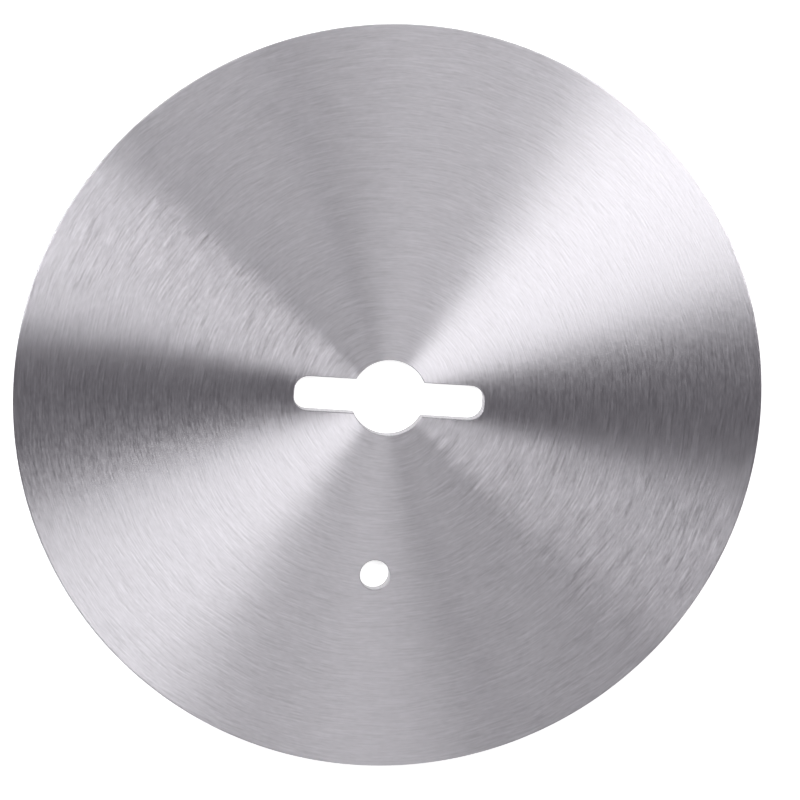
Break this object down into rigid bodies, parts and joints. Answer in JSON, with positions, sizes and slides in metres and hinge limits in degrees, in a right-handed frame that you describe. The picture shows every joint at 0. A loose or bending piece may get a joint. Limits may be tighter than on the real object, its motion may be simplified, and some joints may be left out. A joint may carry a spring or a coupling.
{
  "type": "gyro slicer blade",
  "caption": "Thin round steel slicing blade with a drive slot across its hub hole, a locating hole beside it and a bevel ground round the rim on the underside.",
  "frame": {"origin": "on the spin axis, in the plane of the ground side that the blade lies on", "axes": "+Z along the spin axis, out of the brushed face; X along the drive slot; -Y towards the locating hole"},
  "size_m": [0.1, 0.1, 0.002],
  "materials": {
    "brushed_blade_steel": "bare stainless steel, brushed in circles round the hub"
  },
  "bodies": {
    "root": {"blade": "brushed_blade_steel"}
  },
  "joints": []
}
